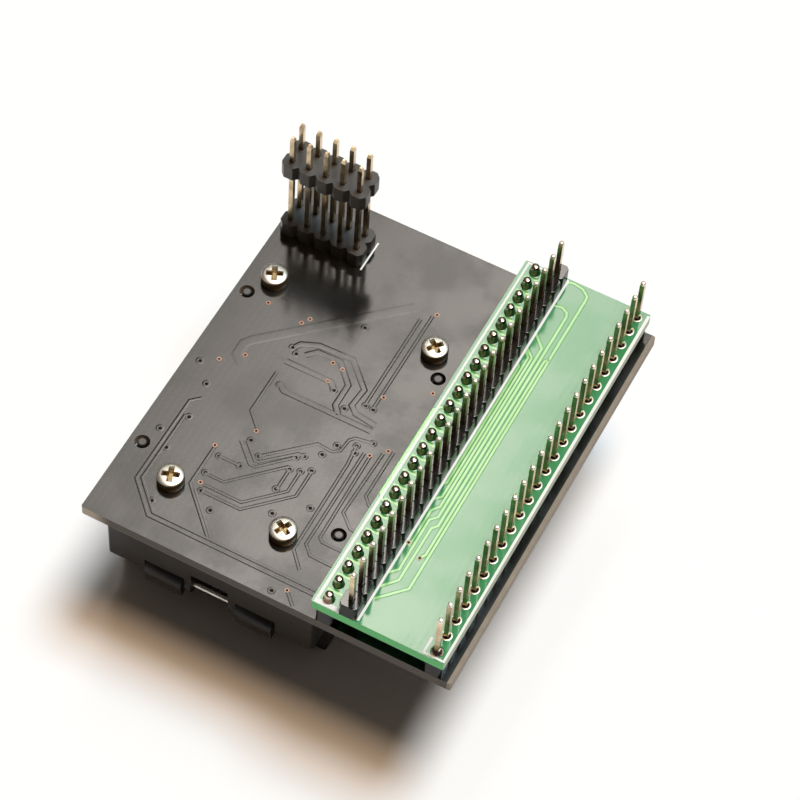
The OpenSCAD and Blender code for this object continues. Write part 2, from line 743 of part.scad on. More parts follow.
// Pins that tie the two boards together and end inside the solder cones
module joint_row_pins() {
  color([0.8, 0.68, 0.42]) along_row(joint_x) pin(main_z - tail_h, plug_top + cone_h - 0.4);
}

module right_plug_pins() {
  color([0.8, 0.68, 0.42]) along_row(right_x) pin(main_z - tail_h, plug_top + right_tip_h);
}

module left_plug_pins() {
  color([0.8, 0.68, 0.42]) along_row(plug_x) pin(plug_z - tail_h, plug_top + left_tip_h);
}

// Solder cones over the ends of the soldered row
module joint_row_solder() {
  color([0.8, 0.8, 0.78]) along_row(joint_x) translate([0, 0, plug_top]) difference() {
    solder_cone(cone_h, pin_side);
    translate([0, 0, (cone_h - 0.4) / 2 - eps])
      cube([seat_hole, seat_hole, cone_h - 0.4 + 2 * eps], center = true);
  }
}

// A solder collar round a pin, standing on z = 0
module solder_collar() {
  difference() {
    solder_cone(collar_h, pin_side * 1.5);
    cube([seat_hole, seat_hole, collar_h * 4], center = true);
  }
}

module right_row_solder() {
  color([0.8, 0.8, 0.78]) along_row(right_x) translate([0, 0, plug_top]) solder_collar();
}

// Solder under the left plug row, between the boards
module left_row_solder() {
  color([0.8, 0.8, 0.78]) along_row(plug_x) translate([0, 0, plug_z]) mirror([0, 0, 1]) solder_collar();
}

// Solder under the main board, on both rows and the auxiliary header
module main_board_solder() {
  color([0.8, 0.8, 0.78]) {
    for (x = [joint_x, right_x]) along_row(x) translate([0, 0, main_z]) mirror([0, 0, 1]) solder_collar();
    along_aux() translate([0, 0, main_z]) mirror([0, 0, 1]) solder_collar();
  }
}

// A moulding of the auxiliary header, standing at height z
module aux_moulding(z) {
  mid_x = aux_x + (aux_cols - 1) * pin_pitch / 2;
  mid_y = aux_y + (aux_rows - 1) * pin_pitch / 2;
  core_w = aux_cols * pin_pitch - 2 * aux_bevel;
  core_l = aux_rows * pin_pitch - 2 * aux_bevel;
  translate([0, 0, z]) linear_extrude(strip_h) difference() {
    union() {
      translate([mid_x, mid_y]) square([core_w, core_l], center = true);
      along_aux() strip_cell(aux_bevel);
    }
    along_aux() square(seat_hole, center = true);
  }
}

module aux_lower_moulding() {
  color([0.15, 0.15, 0.15]) aux_moulding(main_top);
}

module aux_upper_moulding() {
  color([0.15, 0.15, 0.15]) aux_moulding(main_top + aux_upper_z);
}

module aux_pins() {
  color([0.8, 0.68, 0.42]) along_aux() pin(main_z - tail_h, main_top + aux_tip_h);
}

lid_shell();
hinge_pin();
latch_pin();
latch_lever();
pressure_plate();
plate_screws();
plate_springs();
socket_base();
contact_block();
contact_probes();
block_screws();
ic_nest();
nest_springs();
screw_inserts();
mounting_screws();
main_board();
plug_board();
joint_row_strip();
right_row_strip();
left_plug_strip();
joint_row_pins();
right_plug_pins();
left_plug_pins();
joint_row_solder();
right_row_solder();
left_row_solder();
main_board_solder();
aux_lower_moulding();
aux_upper_moulding();
aux_pins();
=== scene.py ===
# %% [markdown]
# # An IC programming adapter
# A clamshell test socket hangs under a black board, and a narrow green board with two plug rows
# sits on top. The adapter lies on the socket's lid, so the plug pins point up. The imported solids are
# the fixed frame. This script gives every solid a finish, and models the small things that a board
# maker adds: solder, copper, ink and screws.

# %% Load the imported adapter
import math

import bmesh
import bpy
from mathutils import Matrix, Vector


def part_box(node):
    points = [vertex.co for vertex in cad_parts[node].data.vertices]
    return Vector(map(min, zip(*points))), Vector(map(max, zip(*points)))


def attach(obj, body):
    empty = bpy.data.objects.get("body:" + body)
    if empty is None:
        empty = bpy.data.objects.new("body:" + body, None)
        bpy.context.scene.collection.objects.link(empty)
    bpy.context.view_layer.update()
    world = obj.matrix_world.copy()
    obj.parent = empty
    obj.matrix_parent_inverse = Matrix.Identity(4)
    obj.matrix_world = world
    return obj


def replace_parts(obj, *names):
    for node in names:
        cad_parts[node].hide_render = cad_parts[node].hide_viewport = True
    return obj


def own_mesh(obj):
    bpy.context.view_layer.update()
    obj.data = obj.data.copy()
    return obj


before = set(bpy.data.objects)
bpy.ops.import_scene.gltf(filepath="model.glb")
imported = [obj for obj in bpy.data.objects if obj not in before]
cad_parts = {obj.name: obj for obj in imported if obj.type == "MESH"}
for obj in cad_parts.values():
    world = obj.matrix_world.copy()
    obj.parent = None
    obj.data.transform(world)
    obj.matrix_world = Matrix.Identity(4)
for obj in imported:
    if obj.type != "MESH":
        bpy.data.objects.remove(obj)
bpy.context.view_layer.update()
mm = 0.001

# %% [markdown]
# The looks hang on a few places: the tops of the two boards and the three pin rows. They are measured
# from the solids, so that a new pack with other sizes moves the small pieces along. A listed place
# is in millimetres, with x counted from the soldered row and y from the middle of the boards.

# %% Measure the boards and the pin rows
row_count = 24
main_low, main_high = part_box("main_board")
plug_low, plug_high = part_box("plug_board")
main_top = main_high.z
plug_top = plug_high.z
row_low, row_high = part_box("joint_row_pins")
pin_side = row_high.x - row_low.x
first_y = row_low.y + pin_side / 2
last_y = row_high.y - pin_side / 2
row_pitch = (last_y - first_y) / (row_count - 1)
pin_gaps = [(first_y + (number + 0.5) * row_pitch) / mm for number in range(row_count - 1)]


def middle_x(name):
    low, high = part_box(name)
    return (low.x + high.x) / 2


joint_x = middle_x("joint_row_pins")
left_x = middle_x("left_plug_pins")
right_x = middle_x("right_plug_pins")
row_xs = [round(x / mm, 2) for x in (joint_x, left_x, right_x)]
print("pitch mm:", round(row_pitch / mm, 3), "rows at x mm:", row_xs)

# %% [markdown]
# The camera looks down at a steep angle with a long lens, from the near right. Its place and turn were
# found from the pin rows, whose spacing is known, so the rows fall where the photograph has them.

# %% Set up the camera
camera_place = (joint_x + 80.758 * mm, -197.174 * mm, 347.873 * mm)
camera_turn = (math.radians(34.064), math.radians(-2.734), math.radians(27.648))
bpy.ops.object.camera_add(location=camera_place, rotation=camera_turn)
camera = bpy.context.object
camera.data.sensor_width = 36
camera.data.lens = 133.06
camera.data.clip_start = 0.01
bpy.context.scene.camera = camera
print("camera lens:", camera.data.lens)

# %% [markdown]
# Every finish is a small node tree, and so is the sky. Five helpers keep the trees short: one feeds a
# socket, one adds a node with its values, one does a sum, one mixes two colours by a mask, and one turns
# a mask into a range.

# %% Helpers for node trees


def feed(tree, socket, value):
    """Link a socket to another one, or set it to a plain value."""
    if isinstance(value, bpy.types.NodeSocket):
        tree.links.new(value, socket)
    else:
        socket.default_value = value


def add_node(tree, kind, **values):
    made = tree.nodes.new(kind)
    for socket, value in values.items():
        feed(tree, made.inputs[socket.replace("_", " ")], value)
    return made


def sums(tree, operation, first, second):
    made = tree.nodes.new("ShaderNodeMath")
    made.operation = operation
    feed(tree, made.inputs[0], first)
    feed(tree, made.inputs[1], second)
    return made.outputs[0]


def mix_colours(tree, mask, none, full):
    made = tree.nodes.new("ShaderNodeMix")
    made.data_type = "RGBA"
    tree.links.new(mask, made.inputs[0])
    for socket, colour in ((made.inputs[6], none), (made.inputs[7], full)):
        feed(tree, socket, (*colour, 1) if isinstance(colour, tuple) else colour)
    return made.outputs[2]


def to_range(tree, mask, low, high, start=0.0, end=1.0):
    made = add_node(
        tree, "ShaderNodeMapRange", Value=mask, From_Min=start, From_Max=end, To_Min=low, To_Max=high
    )
    made.interpolation_type = "SMOOTHSTEP"
    return made.outputs["Result"]


print("node helpers ready")

# %% [markdown]
# The adapter lies on a white table. The table is a plain matt plane, and isn't part of the adapter.
# It is wide enough to fill the view from every side.

# %% Lay the table
scene = bpy.context.scene
scene.view_settings.view_transform = "Standard"

bpy.ops.mesh.primitive_plane_add(size=12)
table = bpy.context.object
table.name = "table"
table_white = bpy.data.materials.new("table_white")
table_white.use_nodes = True
table_shader = table_white.node_tree.nodes["Principled BSDF"]
table_shader.inputs["Base Color"].default_value = (0.97, 0.97, 0.97, 1)
table_shader.inputs["Roughness"].default_value = 0.9
table_shader.inputs["Specular IOR Level"].default_value = 0.1
table.data.materials.append(table_white)
print("table ready")

# %% [markdown]
# Two wide lamps hang overhead, both a little to the right: a warm one nearly above, and a cool one further
# behind. Together they are white, and where only the warm one reaches, the shadow's rim is warm. Each is
# a sun with a large angle, because a sun lights every place alike. Its place is given by two slopes,
# x over z and y over z.

# %% Hang the lamps
lamp_angle = math.radians(22)


def hang_lamp(name, slope_x, slope_y, energy, colour):
    turn_y = math.atan(slope_x)
    turn_x = -math.atan(slope_y * math.cos(turn_y))
    bpy.ops.object.light_add(type="SUN", location=(0, 0, 1), rotation=(turn_x, turn_y, 0))
    lamp = bpy.context.object
    lamp.name = name
    lamp.data.angle = lamp_angle
    lamp.data.energy = energy
    lamp.data.color = colour
    print(name, "energy:", energy)


hang_lamp("warm_lamp", slope_x=0.155, slope_y=0.07, energy=1.65, colour=(1.0, 0.68, 0.43))
hang_lamp("cool_lamp", slope_x=0.14, slope_y=0.285, energy=2.37, colour=(0.595, 0.82, 0.985))

# %% [markdown]
# The world is the rest of the studio. It glows a little overhead and is dark at the horizon,
# which leaves the upright pins dark. One bright panel stands behind the object: both boards are coated,
# so they mirror it as a pale sheen that ends sharply at the right row. A direction's slopes, x over z
# and y over z, place the panel the way a window is placed on a sloping ceiling.

# %% Hang the bright panel in the world
horizon_colour = (0.03, 0.024, 0.019)
overhead_colour = (0.09, 0.072, 0.056)
panel_colour = (7.1, 6.6, 6.05)
panel_fade_x = (-0.48, -0.20)
panel_right_x = (-0.203, -0.195)
panel_near_y = (0.38, 0.46)
panel_far_y = (0.40, 1.30)
least_rise = 0.01
overhead_rise = (0.2, 1.0)

studio = bpy.data.worlds.new("studio")
scene.world = studio
studio.use_nodes = True
sky = studio.node_tree
direction = sky.nodes.new("ShaderNodeTexCoord")
parts = add_node(sky, "ShaderNodeSeparateXYZ", Vector=direction.outputs["Generated"])
rise = sums(sky, "MAXIMUM", parts.outputs["Z"], least_rise)
slope_x = sums(sky, "DIVIDE", parts.outputs["X"], rise)
slope_y = sums(sky, "DIVIDE", parts.outputs["Y"], rise)
left_fade = to_range(sky, slope_x, 0, 1, *panel_fade_x)
right_cut = to_range(sky, slope_x, 1, 0, *panel_right_x)
near_cut = to_range(sky, slope_y, 0, 1, *panel_near_y)
far_fade = to_range(sky, slope_y, 1, 0, *panel_far_y)
across = sums(sky, "MULTIPLY", left_fade, right_cut)
along = sums(sky, "MULTIPLY", near_cut, far_fade)
overhead = to_range(sky, parts.outputs["Z"], 0, 1, *overhead_rise)
glow = mix_colours(sky, overhead, horizon_colour, overhead_colour)
sky_colour = mix_colours(sky, sums(sky, "MULTIPLY", across, along), glow, panel_colour)
sky.links.new(sky_colour, sky.nodes["Background"].inputs["Color"])
print("panel from", panel_fade_x[0], "to", panel_right_x[1])

# %% [markdown]
# Four effects come back in several finishes, so each is a node group with named sockets: the fine grain
# of moulded plastic with hand smudges, the glass weave that shows through a thin lacquer, the bare
# laminate at a board's sawn edges, and the lengthwise streaks of drawn metal. All of them read
# Object coordinates, which are metres here, so a scale of 1000 gives features of about a millimetre.

# %% Start a node group


def start_group(name, takes, gives):
    group = bpy.data.node_groups.new(name, "ShaderNodeTree")
    group.interface.new_socket(name="Place", in_out="INPUT", socket_type="NodeSocketVector")
    for socket in takes:
        group.interface.new_socket(name=socket, in_out="INPUT", socket_type="NodeSocketFloat")
    for socket in gives:
        group.interface.new_socket(name=socket, in_out="OUTPUT", socket_type="NodeSocketFloat")
    return group, group.nodes.new("NodeGroupInput").outputs, group.nodes.new("NodeGroupOutput").inputs


def noise(tree, place, scale, detail, roughness=0.5):
    made = add_node(tree, "ShaderNodeTexNoise", Vector=place, Scale=scale, Detail=detail)
    made.inputs["Roughness"].default_value = roughness
    return made.outputs["Fac"]


def stretched(tree, place, scale):
    made = add_node(tree, "ShaderNodeMapping", Vector=place, Scale=scale)
    return made.outputs["Vector"]


def list_sockets(group):
    print(group.name, [socket.name for socket in group.interface.items_tree])


print("group helpers ready")

# %% Moulded grain and smudges
smudge_scale = 190
grain, takes, gives = start_group("moulded_grain", ["Grain Scale"], ["Grain", "Smudge"])
grain.links.new(noise(grain, takes["Place"], takes["Grain Scale"], 3), gives["Grain"])
smudges = noise(grain, takes["Place"], smudge_scale, 5, 0.6)
grain.links.new(to_range(grain, smudges, 0, 1, 0.35, 0.7), gives["Smudge"])
list_sockets(grain)

# %% Glass weave under the lacquer
cloud_scale = 120
yarn_wobble = 1.2
weave, takes, gives = start_group("glass_weave", ["Yarn Scale"], ["Weave", "Cloud"])
yarns = []
for axis in ("X", "Y"):
    yarn = add_node(
        weave, "ShaderNodeTexWave", Vector=takes["Place"], Scale=takes["Yarn Scale"], Distortion=yarn_wobble
    )
    yarn.bands_direction = axis
    yarns.append(yarn.outputs["Fac"])
weave.links.new(sums(weave, "MULTIPLY", *yarns), gives["Weave"])
clouds = noise(weave, takes["Place"], cloud_scale, 4, 0.6)
weave.links.new(to_range(weave, clouds, 0, 1, 0.3, 0.7), gives["Cloud"])
list_sockets(weave)

# %% Bare laminate at the edges, with painted light on the right side
layer_scale = 420
layer_flatness = 9
stain_fade = 3 * mm
laminate, takes, gives = start_group(
    "laminate_edge", ["Bottom", "Top", "Left End", "Right End", "Right Clean"], ["Edge", "Layers", "Clean"]
)
parts = add_node(laminate, "ShaderNodeSeparateXYZ", Vector=takes["Place"])
above = sums(laminate, "GREATER_THAN", parts.outputs["Z"], takes["Bottom"])
below = sums(laminate, "LESS_THAN", parts.outputs["Z"], takes["Top"])
at_right = sums(laminate, "GREATER_THAN", parts.outputs["X"], takes["Right End"])
walls = sums(laminate, "MULTIPLY", above, below)
laminate.links.new(sums(laminate, "MAXIMUM", walls, at_right), gives["Edge"])
layers = stretched(laminate, takes["Place"], (1, 1, layer_flatness))
laminate.links.new(noise(laminate, layers, layer_scale, 4, 0.7), gives["Layers"])
stain_start = sums(laminate, "SUBTRACT", takes["Left End"], stain_fade)
clean_left = to_range(laminate, parts.outputs["X"], 1, 0, stain_start, takes["Left End"])
# Painted light: the right wall and the top's rim beside it take a share of the paler laminate colour, for
# the light that falls on that side. The Clean output joins this with the clean tan of the left tip.
painted_right_light = sums(laminate, "MULTIPLY", at_right, takes["Right Clean"])
laminate.links.new(sums(laminate, "MAXIMUM", clean_left, painted_right_light), gives["Clean"])
list_sockets(laminate)

# %% Streaks of drawn metal
tarnish_scale = 330
streak_stretch = 0.08
streaks, takes, gives = start_group("drawn_streaks", ["Streak Scale"], ["Streak", "Tarnish"])
drawn = stretched(streaks, takes["Place"], (1, 1, streak_stretch))
streaks.links.new(noise(streaks, drawn, takes["Streak Scale"], 3, 0.6), gives["Streak"])
tarnish = noise(streaks, takes["Place"], tarnish_scale, 4, 0.6)
streaks.links.new(to_range(streaks, tarnish, 0, 1, 0.35, 0.7), gives["Tarnish"])
list_sockets(streaks)

# %% [markdown]
# A finish starts from one helper that makes the material, finds its shader and places one effect group on
# the piece's Object coordinates. What is the same all over is set on the shader itself.

# %% Start a finish


def place_group(tree, group, **values):
    effect = tree.nodes.new("ShaderNodeGroup")
    effect.node_tree = group
    coordinates = tree.nodes.new("ShaderNodeTexCoord")
    tree.links.new(coordinates.outputs["Object"], effect.inputs["Place"])
    for socket, value in values.items():
        effect.inputs[socket.replace("_", " ")].default_value = value
    return effect.outputs


def start_finish(name, group, gloss, metallic=0.0, **values):
    material = bpy.data.materials.new(name)
    material.use_nodes = True
    tree = material.node_tree
    shader = tree.nodes["Principled BSDF"]
    shader.inputs["Metallic"].default_value = metallic
    shader.inputs["Specular IOR Level"].default_value = gloss
    return material, tree, shader, place_group(tree, group, **values)


def raise_bump(tree, shader, height, strength, depth):
    """Bump a surface by a mask; the depth is in millimetres."""
    bump = add_node(tree, "ShaderNodeBump", Height=height, Strength=strength, Distance=depth * mm)
    tree.links.new(bump.outputs["Normal"], shader.inputs["Normal"])


finishes = {}
print("finish helpers ready")

# %% [markdown]
# The socket and the header strips are moulded black plastic. The socket's is a matte, glass filled kind
# with a visible grain; the strips' is smoother, and the tall header's is greyer and rougher. Only
# roughness, tint and grain differ, so one function makes each of them, and the machined probe block and
# thin coats of lacquer and ink too.

# %% Moulded plastics
grain_strength = 0.5


def plastic(name, dark, pale, roughness, grain_scale, grain_depth, gloss=0.5):
    material, tree, shader, effect = start_finish(name, grain, gloss, Grain_Scale=grain_scale)
    tree.links.new(mix_colours(tree, effect["Smudge"], dark, pale), shader.inputs["Base Color"])
    tree.links.new(to_range(tree, effect["Smudge"], *roughness), shader.inputs["Roughness"])
    raise_bump(tree, shader, effect["Grain"], grain_strength, grain_depth)
    finishes[name] = material


plastic(
    "socket_plastic", dark=(0.011, 0.010, 0.009), pale=(0.017, 0.015, 0.013), roughness=(0.42, 0.52),
    grain_scale=5200, grain_depth=0.02, gloss=0.3,
)
plastic(
    "strip_plastic", dark=(0.005, 0.005, 0.004), pale=(0.010, 0.009, 0.008), roughness=(0.14, 0.25),
    grain_scale=7000, grain_depth=0.008, gloss=0.12,
)
plastic(
    "header_plastic", dark=(0.058, 0.052, 0.044), pale=(0.085, 0.076, 0.065), roughness=(0.35, 0.5),
    grain_scale=7000, grain_depth=0.008,
)
plastic(
    "block_plastic", dark=(0.075, 0.058, 0.044), pale=(0.115, 0.09, 0.07), roughness=(0.4, 0.55),
    grain_scale=3800, grain_depth=0.02,
)
print("plastics:", sorted(finishes))

# %% [markdown]
# The top of a header strip comes from the polished side of its mould, so it mirrors the bright panel while
# the walls stay black. A clear coat gives that second gloss. Its weight follows the surface's own normal:
# full where the normal points up, and none on a wall.

# %% Polished tops of the strips
wall_normal_z = 0.8
top_normal_z = 0.98
strip_tree = finishes["strip_plastic"].node_tree
strip_shader = strip_tree.nodes["Principled BSDF"]
strip_shader.inputs["Coat Roughness"].default_value = 0.12
strip_shader.inputs["Coat IOR"].default_value = 1.8
facing = strip_tree.nodes.new("ShaderNodeTexCoord")
facing_parts = add_node(strip_tree, "ShaderNodeSeparateXYZ", Vector=facing.outputs["Normal"])
polished_top = to_range(strip_tree, facing_parts.outputs["Z"], 0, 1, wall_normal_z, top_normal_z)
strip_tree.links.new(polished_top, strip_shader.inputs["Coat Weight"])
print("polished:", finishes["strip_plastic"].name)

# %% [markdown]
# The two boards are woven glass and resin under a coloured lacquer. The lacquer is smooth and glossy, with
# clouds where it is thicker. The sawn edges show the laminate. On the black board it is dark and stained,
# but clean and tan at the left tip. Its right wall and a narrow rim of the top beside it are mixed half way
# to that tan: painted light, for the light from the right and the catch-light on the top edge. On the green
# board the edges are a bright saturated green, which partly paints the light that shines through the board,
# and the right wall is pale: painted light from the right. The edge mask compares the height with the
# board's two faces, and the tan and pale parts go by x.

# %% Board lacquers
lacquer_film = 0.05 * mm
yarn_scale = 330
weave_strength = 0.08
weave_depth = 0.01
sawn_roughness = 0.7


def board(name, gloss, faces, edges, clean_and_lit_edges, corners, left_end, lit_right_rim, right_light_share, roughness):
    low, high = corners
    material, tree, shader, effect = start_finish(name, weave, gloss, Yarn_Scale=yarn_scale)
    edge = place_group(
        tree, laminate, Bottom=low.z + lacquer_film, Top=high.z - lacquer_film,
        Left_End=left_end, Right_End=high.x - lit_right_rim, Right_Clean=right_light_share,
    )
    face_colour = mix_colours(tree, effect["Cloud"], *faces)
    plain_edge = mix_colours(tree, edge["Layers"], *edges)
    clean_and_lit_colour = mix_colours(tree, edge["Layers"], *clean_and_lit_edges)
    edge_colour = mix_colours(tree, edge["Clean"], plain_edge, clean_and_lit_colour)
    tree.links.new(mix_colours(tree, edge["Edge"], face_colour, edge_colour), shader.inputs["Base Color"])
    face_roughness = to_range(tree, effect["Cloud"], *roughness)
    edge_roughness = sums(tree, "MULTIPLY", edge["Edge"], sawn_roughness)
    tree.links.new(sums(tree, "MAXIMUM", face_roughness, edge_roughness), shader.inputs["Roughness"])
    raise_bump(tree, shader, effect["Weave"], weave_strength, weave_depth)
    finishes[name] = material


board(
    "black_board", gloss=0.8, roughness=(0.11, 0.2),
    faces=((0.010, 0.009, 0.008), (0.016, 0.015, 0.013)),
    edges=((0.03, 0.021, 0.011), (0.075, 0.052, 0.030)),
    # painted light: this paler tan also stands for the light on the right wall and its rim
    clean_and_lit_edges=((0.34, 0.27, 0.19), (0.60, 0.50, 0.38)),
    corners=(main_low, main_high), left_end=main_low.x + 4.5 * mm, lit_right_rim=0.55 * mm, right_light_share=0.5,
)
board(
    "green_board", gloss=1.0, roughness=(0.08, 0.13),
    faces=((0.048, 0.27, 0.10), (0.068, 0.315, 0.12)),
    edges=((0.06, 0.48, 0.11), (0.16, 0.75, 0.24)),
    # painted light: the pale right wall, and partly the bright green of the other edges
    clean_and_lit_edges=((0.40, 0.46, 0.34), (0.58, 0.64, 0.48)),
    corners=(plug_low, plug_high), left_end=plug_low.x - 1 * mm, lit_right_rim=lacquer_film, right_light_share=1.0,
)
print("boards:", finishes["black_board"].name, finishes["green_board"].name)

# %% [markdown]
# The metals: thin gold over brass on the pins, bright tin for the solder, nickel on the screws, ground
# steel for the hinge and springs, blasted aluminium for the pressure plate. Each varies between a clean
# and a tarnished tone, and the streaks run along Z, as the pins were drawn.

# %% Metals
streak_strength = 0.4
metal_gloss = 0.5


def metal(name, clean, tarnished, roughness, streak_scale, streak_depth):
    material, tree, shader, effect = start_finish(
        name, streaks, metal_gloss, metallic=1.0, Streak_Scale=streak_scale
    )
    tree.links.new(mix_colours(tree, effect["Tarnish"], clean, tarnished), shader.inputs["Base Color"])
    tree.links.new(to_range(tree, effect["Streak"], *roughness), shader.inputs["Roughness"])
    raise_bump(tree, shader, effect["Streak"], streak_strength, streak_depth)
    finishes[name] = material


metal(
    "pin_brass", clean=(0.74, 0.59, 0.38), tarnished=(0.34, 0.25, 0.15), roughness=(0.16, 0.3),
    streak_scale=6000, streak_depth=0.006,
)
metal(
    "solder", clean=(0.62, 0.55, 0.46), tarnished=(0.36, 0.29, 0.22), roughness=(0.18, 0.28),
    streak_scale=2600, streak_depth=0.01,
)
metal(
    "screw_nickel", clean=(0.88, 0.82, 0.70), tarnished=(0.76, 0.68, 0.55), roughness=(0.22, 0.36),
    streak_scale=4000, streak_depth=0.002,
)
metal(
    "steel", clean=(0.66, 0.65, 0.63), tarnished=(0.50, 0.48, 0.45), roughness=(0.2, 0.36),
    streak_scale=5000, streak_depth=0.01,
)
metal(
    "plate_aluminium", clean=(0.78, 0.78, 0.77), tarnished=(0.66, 0.66, 0.66), roughness=(0.36, 0.5),
    streak_scale=3000, streak_depth=0.02,
)
print("finishes:", len(finishes))

# %% [markdown]
# Some metal is tinted darker and browner in its lower part: the foot of each solder cone, and each screw
# head below its top, where the brown is painted shade and a painted reflection of the dark board. One
# function adds such a tint to a finish. It mixes the tint over the finish's own colour by a mask that
# compares the height with two levels.

# %% Darker tints below a height


def tint_below(name, full, none, low_tint):
    """Tint a finish below a height: fully at one height, and no longer at a higher one."""
    tree = finishes[name].node_tree
    shader = tree.nodes["Principled BSDF"]
    tone = shader.inputs["Base Color"].links[0].from_socket
    coordinates = tree.nodes.new("ShaderNodeTexCoord")
    place = add_node(tree, "ShaderNodeSeparateXYZ", Vector=coordinates.outputs["Object"])
    mask = to_range(tree, place.outputs["Z"], 1, 0, full, none)
    tree.links.new(mix_colours(tree, mask, tone, low_tint), shader.inputs["Base Color"])


print("stain helper ready")

# %% [markdown]
# The solids arrive with one material slot each, named as in the record. Each slot now takes its finish.
# Only the tall header's two mouldings, which share the strips' slot, get a finish of their own.

# %% Dress the solids
own_finish = {"aux_lower_moulding": "header_plastic", "aux_upper_moulding": "header_plastic"}
for name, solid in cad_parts.items():
    slot_name = solid.material_slots[0].name
    solid.material_slots[0].material = finishes[own_finish.get(name, slot_name)]
print("dressed:", len(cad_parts))

# %% [markdown]
# Nothing moulded has a knife edge. A Weld joins the loose triangles of the plastic solids, and a narrow
# Bevel rounds their edges, so that they catch a thin line of light. Both stay live as modifiers, which
# leaves the solids' own meshes alone. The aluminium plate is broken at its edges in the same way.

# %% Soften the moulded edges
soft_edges = {
    "socket_base": 0.12,
    "lid_shell": 0.12,
    "latch_lever": 0.12,
    "left_plug_strip": 0.06,
    "joint_row_strip": 0.06,
    "right_row_strip": 0.06,
    "aux_lower_moulding": 0.06,
    "aux_upper_moulding": 0.06,
    "pressure_plate": 0.1,
}
for name, width in soft_edges.items():
    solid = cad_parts[name]
    merged = solid.modifiers.new("join_triangles", "WELD")
    merged.merge_threshold = 0.001 * mm
    rounded = solid.modifiers.new("round_edges", "BEVEL")
    rounded.width = width * mm
    rounded.segments = 2
    rounded.limit_method = "ANGLE"
    rounded.angle_limit = math.radians(30)
    rounded.harden_normals = True
print("softened:", sorted(soft_edges))

# %% [markdown]
# The small pieces share a few moves. A turned piece starts as a disc that is extruded upwards and resized
# ring by ring, as on a lathe. A row comes from an Array, and scattered things are one model, copied and
# joined. In the end a piece is settled: its place goes into its mesh, and it rides on a body.

# %% Select, smooth, join and settle


def deselect():
    bpy.ops.object.select_all(action="DESELECT")


def pick(piece):
    deselect()
    piece.select_set(True)
    bpy.context.view_layer.objects.active = piece


def smooth_outside(piece, degrees):
    """Point all faces outwards, and shade edges flatter than an angle smooth."""
    pick(piece)
    bpy.ops.object.mode_set(mode="EDIT")
    bpy.ops.mesh.select_all(action="SELECT")
    bpy.ops.mesh.normals_make_consistent(inside=False)
    bpy.ops.object.mode_set(mode="OBJECT")
    bpy.ops.object.shade_smooth_by_angle(angle=math.radians(degrees))


def joined(first, *others):
    pick(first)
    for other in others:
        other.select_set(True)
    bpy.ops.object.join()
    return first


def settle(piece, name, finish, body="base"):
    """Give a piece its name, finish and slot, put its place into its mesh, and let it ride on a body."""
    pick(piece)
    bpy.ops.object.transform_apply(location=True, rotation=True, scale=True)
    piece.name = name
    piece.data.materials.clear()
    piece.data.materials.append(finishes[finish])
    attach(piece, body)
    print(name, "faces:", len(piece.data.polygons))
    return piece


print("piece helpers ready")

# %% Turn, repeat and copy


def turned(rings, sides, x=0.0, y=0.0, z=0.0):
    """Make a turned piece from (radius, height) rings in millimetres above the point x, y, z."""
    deselect()
    radius, height = rings[0]
    start = (x, y, z + height * mm)
    bpy.ops.mesh.primitive_circle_add(vertices=sides, radius=radius * mm, fill_type="NGON", location=start)
    piece = bpy.context.object
    bpy.ops.object.mode_set(mode="EDIT")
    for next_radius, next_height in rings[1:]:
        climb = (0, 0, (next_height - height) * mm)
        bpy.ops.mesh.extrude_region_move(TRANSFORM_OT_translate={"value": climb})
        share = next_radius / radius
        ring_centre = (x, y, z + next_height * mm)
        bpy.ops.transform.resize(value=(share, share, 1), center_override=ring_centre)
        radius, height = next_radius, next_height
    bpy.ops.object.mode_set(mode="OBJECT")
    smooth_outside(piece, 40)
    return piece


def repeat_in_row(piece, count):
    row = piece.modifiers.new("row", "ARRAY")
    row.count = count
    row.use_relative_offset = False
    row.use_constant_offset = True
    row.constant_offset_displace = (0, row_pitch, 0)
    pick(piece)
    bpy.ops.object.modifier_apply(modifier=row.name)


def copy_to(piece, places, level):
    """Copy a piece, modelled at the origin, to (x, y) places in millimetres, and join the copies."""
    copies = []
    for x, y in places:
        pick(piece)
        bpy.ops.object.duplicate()
        twin = bpy.context.object
        twin.location = (joint_x + x * mm, y * mm, level)
        copies.append(twin)
    bpy.data.objects.remove(piece)
    return joined(*copies)


print("turning helpers ready")

# %% [markdown]
# Copper and ink lie in narrow lines. A line is a curve with straight sides, laid along a route of points.
# A flat ribbon comes from the curve's own extrude and bevel, and is then made a mesh. Cutting each line
# from a plane would need its corners worked out by hand.

# %% Lay ribbons


def empty_curve(dimensions):
    deselect()
    bpy.ops.curve.primitive_nurbs_path_add()
    curve = bpy.context.object
    curve.data.splines.clear()
    curve.data.dimensions = dimensions
    return curve


def lay_routes(curve, routes, level, tilt):
    """Give a curve one straight-sided line for each route of (x, y) points in millimetres."""
    curve.data.twist_mode = "Z_UP"
    curve.data.use_fill_caps = True
    for route in routes:
        line = curve.data.splines.new("POLY")
        line.points.add(len(route) - 1)
        for point, (x, y) in zip(line.points, route):
            point.co = (joint_x + x * mm, y * mm, level, 1)
            point.tilt = tilt


def ribbons(routes, width, thickness, level):
    """Lay flat ribbons along routes of (x, y) points; all sizes but the level are in millimetres."""
    strip = empty_curve("3D")
    strip.data.extrude = (width - thickness) / 2 * mm
    strip.data.bevel_depth = thickness / 2 * mm
    strip.data.bevel_resolution = 0
    lay_routes(strip, routes, level, math.pi / 2)
    bpy.ops.object.convert(target="MESH")
    bpy.ops.object.shade_flat()
    return bpy.context.object


print("ribbon helpers ready")
